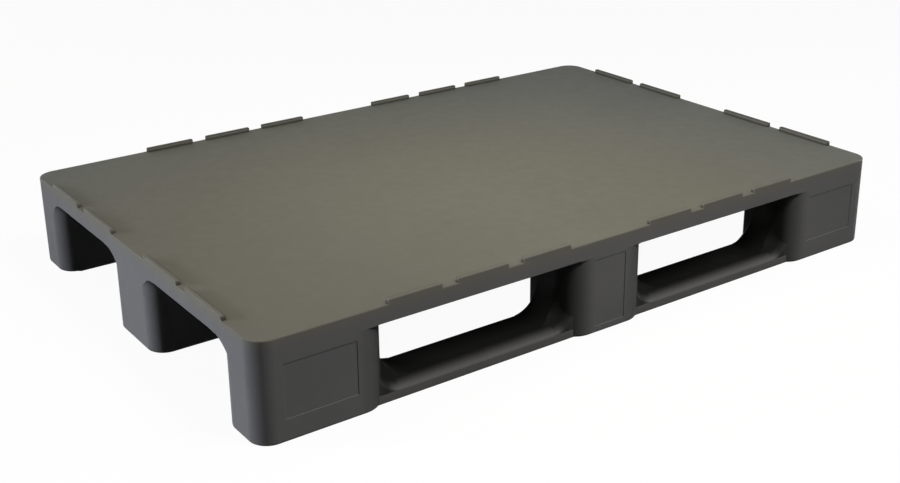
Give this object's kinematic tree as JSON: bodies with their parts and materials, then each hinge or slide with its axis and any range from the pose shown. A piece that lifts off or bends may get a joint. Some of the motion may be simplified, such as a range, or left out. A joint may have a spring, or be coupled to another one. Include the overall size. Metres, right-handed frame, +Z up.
{
  "type": "plastic pallet",
  "caption": "Closed-deck plastic pallet on three lengthwise runners, with hollow feet and raised edge stops.",
  "frame": {"origin": "on the floor, at the middle of the footprint", "axes": "+X along the 1200 mm side, +Y along the 800 mm side, +Z up"},
  "size_m": [1.2, 0.8, 0.16],
  "materials": {
    "deck_plastic": "moulded, fine grain, satin",
    "foot_plastic": "moulded, smooth, satin",
    "runner_plastic": "moulded, smooth, satin",
    "closing_plate_plastic": "moulded, matt",
    "steel_bar": "zinc plated"
  },
  "bodies": {
    "root": {"deck_top": "deck_plastic", "deck_underside": "closing_plate_plastic", "foot_front_left": "foot_plastic", "foot_front_middle": "foot_plastic", "foot_front_right": "foot_plastic", "foot_centre_left": "foot_plastic", "foot_centre_middle": "foot_plastic", "foot_centre_right": "foot_plastic", "foot_rear_left": "foot_plastic", "foot_rear_middle": "foot_plastic", "foot_rear_right": "foot_plastic", "runner_front": "runner_plastic", "runner_centre": "runner_plastic", "runner_rear": "runner_plastic", "sole_front": "closing_plate_plastic", "sole_centre": "closing_plate_plastic", "sole_rear": "closing_plate_plastic", "runner_bar_front": "steel_bar", "runner_bar_centre": "steel_bar", "runner_bar_rear": "steel_bar", "deck_bar_outer_front": "steel_bar", "deck_bar_inner_front": "steel_bar", "deck_bar_inner_rear": "steel_bar", "deck_bar_outer_rear": "steel_bar"}
  },
  "joints": []
}
